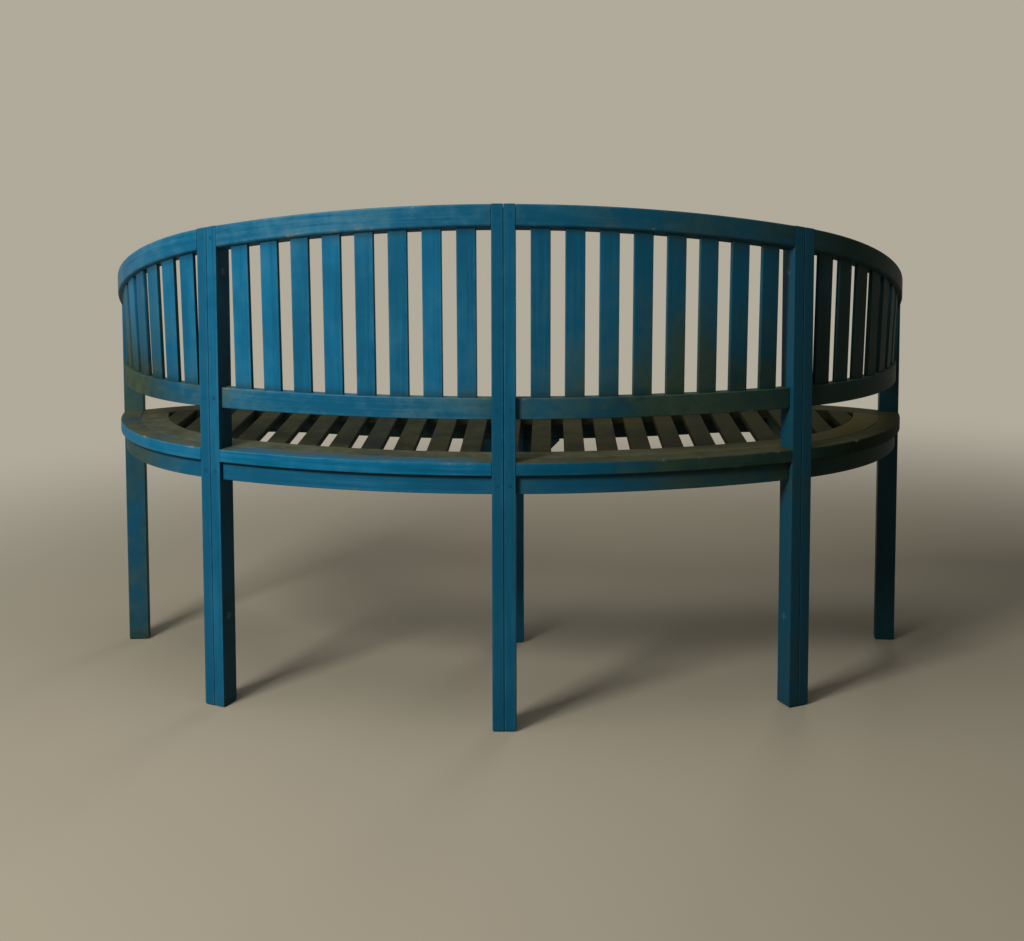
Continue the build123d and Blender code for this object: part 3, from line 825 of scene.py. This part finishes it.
def back_slat(bay, angle):
    """A straight stick from the lower rail's middle line to the top rail's, cut by both planes."""
    centre, radius = bay[:2]
    turn = np.radians(angle)
    foot = np.array([*on_arc(centre, radius - RAIL_SETBACK - RAIL / 2, angle), LOW_RAIL_BOTTOM])
    head = np.array([*on_arc(centre, radius - TOP_RAIL / 2, angle), 0])
    head[2] = plank_level(head[1], TOP_PLANK)
    along = unit(head - foot)
    side = np.array([np.cos(turn), -np.sin(turn), 0])
    out = np.cross(side, along)

    def place(t, a, b):
        wide, deep = a - SLAT_WIDTH / 2, b - SLAT_THICK / 2
        start = [foot[n] + wide * side[n] + deep * out[n] for n in range(3)]
        low = (low_rail_top - SUNK - start[2]) / along[2]
        climb = along[2] - np.tan(TOP_TILT) * along[1]
        high = (plank_level(start[1], TOP_PLANK) + SUNK - start[2]) / climb
        reach = low + t * (high - low)
        return tuple(start[n] + reach * along[n] for n in range(3))

    return carried(sawn(SLAT_WIDTH, SLAT_THICK), place, head[2] - low_rail_top, rings=8)


for prefix, bay in BAYS.items():
    centre, radius, near, far = bay
    foot_radius = radius - RAIL_SETBACK - RAIL / 2
    clear = far - near - 2 * np.degrees(np.arcsin(STILE / foot_radius))
    slat_angle = np.degrees(SLAT_WIDTH / foot_radius)
    gap_angle = (clear - BACK_SLATS * slat_angle) / (BACK_SLATS + 1)
    first = (near + far - clear + slat_angle) / 2 + gap_angle
    angles = first + np.arange(BACK_SLATS) * (slat_angle + gap_angle)
    slats = [back_slat(bay, angle) for angle in angles]
    pair(f"{prefix}back_slats", slats, paints["slat"])

# %% [markdown]
# ## The seat
#
# Inside the border lies a flat ring, and along the front a bowed board. Straight slats run from front
# to back, and their ends are scribed to the curves of the ring and the board.


# %% Where two arcs of the plan meet
def meeting_turn(first_centre, first_radius, second_centre, second_radius):
    """Angle at the first centre, from the line to the second one to where the circles cross."""
    apart = np.hypot(second_centre[0] - first_centre[0], second_centre[1] - first_centre[1])
    cosine = (apart**2 + first_radius**2 - second_radius**2) / (2 * apart * first_radius)
    return np.degrees(np.arccos(cosine))


lean = np.degrees(np.arctan2(lobe_centre[0] - side_centre[0], lobe_centre[1] - side_centre[1]))


def ring_end(radius):
    """Angle at which an arc of the ring, about the end bay's centre, runs into the front board."""
    return lean + meeting_turn(side_centre, radius, lobe_centre, lobe_radius - FRONT_BOARD)


# %% Seat ring
RING_EDGE = 1.2
ring_section = sawn(RING_WIDTH, BOARD, RING_EDGE)
level = flat_level(SEAT_TOP)
back_ring = curved(BAYS[""], ring_section, level, POST_DEPTH, gap=0)
pair("seat_ring", [back_ring], paints["ring"])
end_ring = curved(BAYS["end_"], ring_section, level, POST_DEPTH, gap=0, far_angle=ring_end)
pair("end_seat_ring", [end_ring], paints["ring"])


# %% Front board and front apron
def front_line(inset, t, start_x):
    """Plan point on the front edge, set back: t from 0 to 1/2 along the hollow, then round the lobe."""
    hollow, lobe = hollow_radius + inset, lobe_radius - inset
    begin = np.degrees(np.arcsin(start_x / hollow))
    sweep = begin + np.clip(2 * t, 0, 1) * (meeting - begin)
    x_hollow, y_hollow = on_arc(hollow_centre, hollow, sweep)
    last = meeting_turn(lobe_centre, lobe, side_centre, SIDE_RADIUS - POST_DEPTH) - lean
    turn = np.radians(-meeting + np.clip(2 * t - 1, 0, 1) * (last + meeting))
    x_lobe = lobe_centre[0] + lobe * np.sin(turn)
    y_lobe = lobe_centre[1] - lobe * np.cos(turn)
    return np.where(t < 0.5, x_hollow, x_lobe), np.where(t < 0.5, y_hollow, y_lobe)


def front_piece(section, top, setback, start_x):
    """A section carried along the front edge: a is the distance behind it, b the depth below the top."""

    def place(t, a, b):
        x, y = front_line(setback + a, t, start_x)
        return x, y, top - b

    return carried(section, place, end_corner[0], rings=60, ends=RAIL_EASE)


front_board = front_piece(sawn(FRONT_BOARD, BOARD, BOARD_EDGE), SEAT_TOP, 0, 0.0)
pair("front_board", [front_board], paints["board"])
apron_section = sawn(RAIL, APRON_HEIGHT)
front_apron = front_piece(apron_section, seat_bottom, OVERHANG, FRONT_LEG_WIDTH / 2)
pair("front_apron", [front_apron], paints["front"])


# %% Lines that the seat slats meet
def back_line(x, setback):
    """y of the back's outer line, set in, above a distance from the middle."""
    wide, tight = BACK_RADIUS - setback, SIDE_RADIUS - setback
    y_wide = back_centre[1] + np.sqrt(wide**2 - x**2)
    y_tight = side_centre[1] + np.sqrt(np.maximum(tight**2 - (x - side_centre[0]) ** 2, 0))
    return np.where(x < wide * np.sin(np.radians(BACK_ANGLE)), y_wide, y_tight)


def front_back(x, setback):
    """y of the front edge, set back, above a distance from the middle."""
    hollow, lobe = hollow_radius + setback, lobe_radius - setback
    y_hollow = hollow_centre[1] + np.sqrt(hollow**2 - x**2)
    y_lobe = lobe_centre[1] - np.sqrt(np.maximum(lobe**2 - (x - LOBE_X) ** 2, 0))
    return np.where(x < hollow * np.sin(np.radians(meeting)), y_hollow, y_lobe)


def lengthwise(centre_x, section, top, front_setback, back_setback):
    """A straight stick from front to back whose ends follow the two curves that it meets."""
    width = np.ptp(section.ring[:, 0])

    def place(t, a, b):
        x = centre_x + a - width / 2
        start = front_back(abs(x), front_setback)
        finish = back_line(abs(x), back_setback)
        return x, start + t * (finish - start), top - b

    return carried(section, place, 2 * back_y - front_setback - back_setback, rings=12)


# %% Seat slats in their places
SEAT_EDGE = 2.0
slat_section = sawn(SEAT_SLAT, SEAT_SLAT_THICK, SEAT_EDGE)
first_place = CENTRE_SLAT / 2 + SEAT_GAP + SEAT_SLAT / 2
slat_places = first_place + np.arange(SEAT_SLATS) * (SEAT_SLAT + SEAT_GAP)
inner_line = POST_DEPTH + RING_WIDTH
slats = [lengthwise(x, slat_section, SEAT_TOP, FRONT_BOARD, inner_line) for x in slat_places]
pair("seat_slats", slats, paints["seat"])
centre_section = sawn(CENTRE_SLAT, SEAT_SLAT_THICK, SEAT_EDGE)
centre_slat = lengthwise(0.0, centre_section, SEAT_TOP, FRONT_BOARD, inner_line)
piece("centre_seat_slat", [centre_slat], paints["seat"])

# %% [markdown]
# ## Under the seat
#
# Three bearers carry the slats, and one front leg stands in the hollow of the front edge, with a small
# bracket on each side that keeps it from racking.

# %% Front leg
leg_front = front_y + FRONT_HOLLOW + OVERHANG
leg_back = leg_front + RAIL + LEG_BEHIND_APRON


def leg_place(t, a, b):
    """The leg stands on the floor, with its front face at leg_front."""
    return a - FRONT_LEG_WIDTH / 2, leg_front + b, t * seat_bottom


leg_section = sawn(FRONT_LEG_WIDTH, leg_back - leg_front)
leg = carried(leg_section, leg_place, seat_bottom, rings=16, ends=(FOOT_CHAMFER, END_EASE[1]))
piece("front_leg", [leg], paints["post"])

# %% Bearers
apron_back = OVERHANG + RAIL
rise = BOARD - SEAT_SLAT_THICK  # the part of a bearer that fills the space up to the thin slats


def bearer_line(t, a, b):
    """From the back of the front leg to the centre post, under the seat's boards."""
    return a - BEARER_WIDTH / 2, leg_back + t * (back_y - POST_DEPTH - leg_back), seat_bottom - b


bearer = carried(sawn(BEARER_WIDTH, APRON_HEIGHT), bearer_line, back_y - leg_back, rings=8)
riser = lengthwise(0.0, sawn(BEARER_WIDTH, rise), slat_bottom, FRONT_BOARD, inner_line)
piece("centre_bearer", [bearer, riser], paints["rail"])

post_x = on_arc(back_centre, BACK_RADIUS, BACK_ANGLE)[0]
bearer_x = slat_places[np.argmin(abs(slat_places - post_x))]
side_section = sawn(SIDE_BEARER_WIDTH, APRON_HEIGHT)
side_bearer = lengthwise(bearer_x, side_section, seat_bottom, apron_back, RAIL_SETBACK + RAIL)
riser_section = sawn(SIDE_BEARER_WIDTH, rise)
side_riser = lengthwise(bearer_x, riser_section, slat_bottom, FRONT_BOARD, inner_line)
pair("side_bearer", [side_bearer, side_riser], paints["rail"])

# %% Brackets
corner_section = outline([(0, 0), (0, -BRACKET), (BRACKET, 0)])
bracket_back = leg_back - LEG_BEHIND_APRON


def bracket_place(t, a, b):
    """Beside the leg and below the apron, from its back towards the front."""
    return FRONT_LEG_WIDTH / 2 + a, bracket_back - t * BRACKET_THICK, apron_bottom + b


bracket = carried(corner_section, bracket_place, BRACKET_THICK, rings=3)
pair("corner_bracket", [bracket], paints["rail"])

# %% [markdown]
# ## Pins and bolts
#
# The pins and bolts are CAD nodes as they are. The pins are painted over with the posts, so they show
# as faint marks, painted darker towards the right as shade like the posts; the bolts are dull, with paint
# left in patches.

# %% Pins and bolts
PIN_ROUGHNESS, PIN_GLOSS, BOLT_ROUGHNESS = 0.6, 0.1, 0.55
PIN_PATCHES, BOLT_PATCHES = 90.0, 160.0  # per metre

pin = material("painted_over")
place = pin.place()
shade = pin.mix(pin.noise(place, PIN_PATCHES).between(0.35, 0.65) * 0.4, DEEP_BLUE, SHADE_AND_DULL_BLUE)
# Painted shade: the pins darken towards the right, away from the key lamp, as the posts do
shade = pin.mix(pin.axis(place, "X").between(*SHADE_PAINTED_SIDE) * SHADE_PAINTED_SHARE, shade, SHADE_AND_DULL_BLUE)
sockets = {"Base Color": shade, "Roughness": PIN_ROUGHNESS, "Specular IOR Level": PIN_GLOSS}
pin_paint = pin.surface(pin.node("ShaderNodeBsdfPrincipled", None, sockets))

bolt = material("dull_painted_bolt")
shade = bolt.mix(bolt.noise(bolt.place(), BOLT_PATCHES).between(0.4, 0.6), DARK_OLIVE, DEEP_BLUE)
sockets = {"Base Color": shade, "Roughness": BOLT_ROUGHNESS}
bolt_paint = bolt.surface(bolt.node("ShaderNodeBsdfPrincipled", None, sockets))
for node, finish in (("joint_pins", pin_paint), ("post_bolts", bolt_paint)):
    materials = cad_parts[node].data.materials
    materials.clear()
    materials.append(finish)
    print(node, "wears", finish.name)
